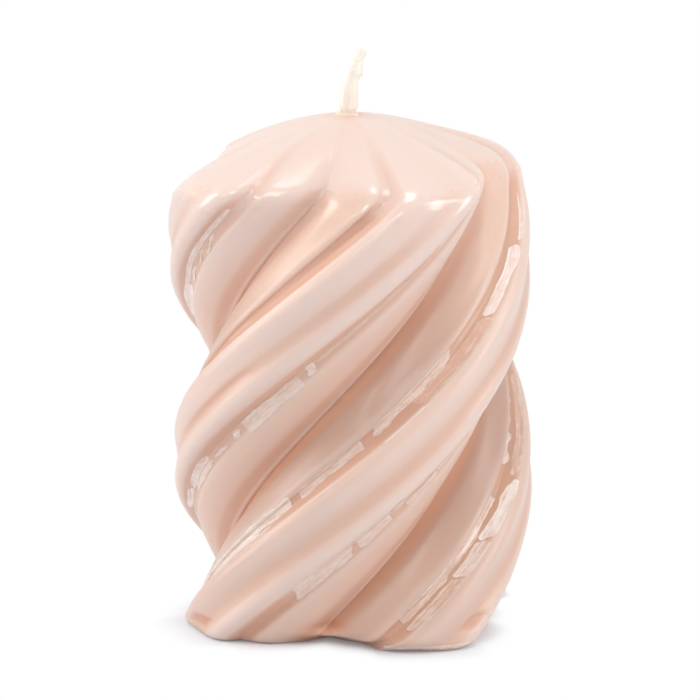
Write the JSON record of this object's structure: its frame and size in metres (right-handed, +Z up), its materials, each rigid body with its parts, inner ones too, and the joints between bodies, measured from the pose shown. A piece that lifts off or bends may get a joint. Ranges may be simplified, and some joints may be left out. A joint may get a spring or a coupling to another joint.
{
  "type": "spiral pillar candle",
  "caption": "Free-standing pillar candle: a twisted, ribbed wax body with a fluted dome on a flat foot, a bent cotton wick and a sheet-metal wick holder.",
  "frame": {"origin": "centre of the foot, on the surface that the candle stands on", "axes": "+Z up along the candle and its wick, -Y towards the viewer of the picture, +X to the viewer's right, where the wick leans"},
  "size_m": [0.07, 0.07, 0.1122],
  "materials": {
    "body_wax": "pale pink translucent candle wax with a glossy dipped skin",
    "wick_cotton": "braided cotton, slightly waxed",
    "holder_tinplate": "thin tin-plated sheet, stamped",
    "seal_wax": "set pale wax, glossy",
    "sleeve_wax": "thin set wax over cotton, satin"
  },
  "bodies": {
    "root": {"wax_body": "body_wax", "wick": "wick_cotton", "wick_holder": "holder_tinplate", "wick_seal": "seal_wax", "wick_sleeve": "sleeve_wax"}
  },
  "joints": []
}
